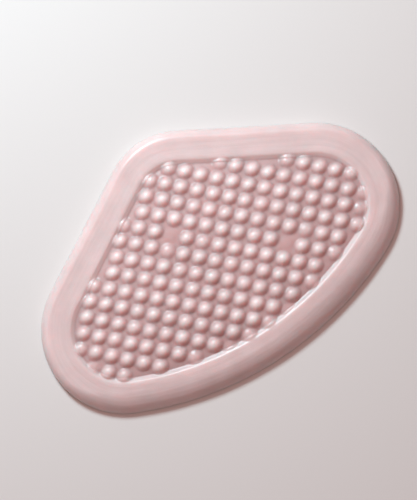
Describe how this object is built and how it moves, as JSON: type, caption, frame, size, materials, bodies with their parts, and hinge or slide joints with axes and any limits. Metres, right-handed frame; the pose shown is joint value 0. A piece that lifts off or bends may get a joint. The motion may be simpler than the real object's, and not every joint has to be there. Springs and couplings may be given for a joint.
{
  "type": "gel arch pad",
  "caption": "Soft gel pad that sits under the arch of a foot: rounded triangular plan, flat back, smooth raised rim and a shallow field of small domes.",
  "frame": {"origin": "on the flat back, under the middle of the plan's bounding box", "axes": "+X along the pad to the end that points to the heel, +Y across it to the blunt tip between the two straight sides, +Z out of the domed face"},
  "size_m": [0.08, 0.0522, 0.005],
  "materials": {
    "gel": "soft cast polymer gel, translucent pale pink with a wet-looking gloss"
  },
  "bodies": {
    "root": {"gel_pad": "gel"}
  },
  "joints": []
}
